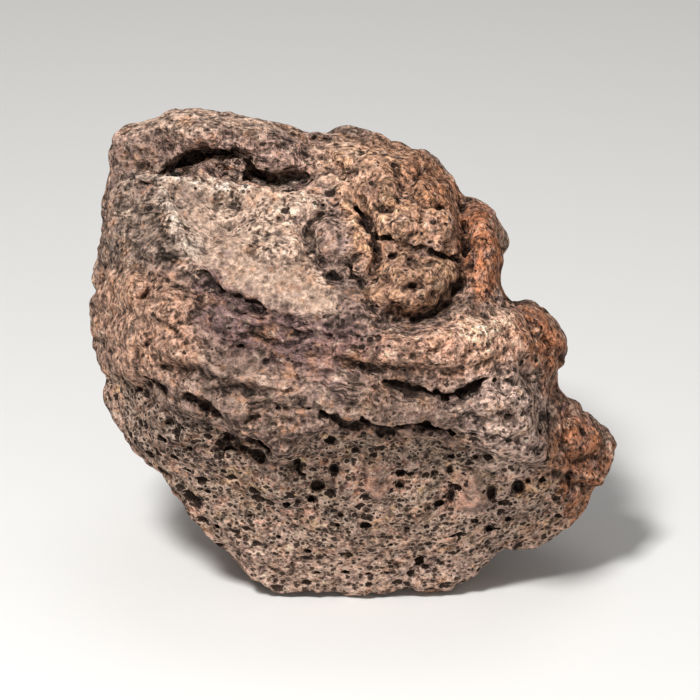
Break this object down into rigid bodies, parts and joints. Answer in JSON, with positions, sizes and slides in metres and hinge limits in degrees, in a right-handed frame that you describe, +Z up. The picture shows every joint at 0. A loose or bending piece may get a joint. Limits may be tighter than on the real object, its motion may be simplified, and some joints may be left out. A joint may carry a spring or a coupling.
{
  "type": "lava rock",
  "caption": "Rough block of vesicular lava rock with folded flow layers, an overhung lower face full of gas holes, a hollow under its top slab and a flat underside to stand on.",
  "frame": {"origin": "on the resting surface, under the middle of the block's box", "axes": "+Z up, +X towards the block's reddened right flank, -Y towards its folded front face"},
  "size_m": [0.1408, 0.1164, 0.124],
  "materials": {
    "scoria": "matt vesicular stone, grey-brown with tan crust and rust-red oxidised patches"
  },
  "bodies": {
    "root": {"lava_rock": "scoria"}
  },
  "joints": []
}
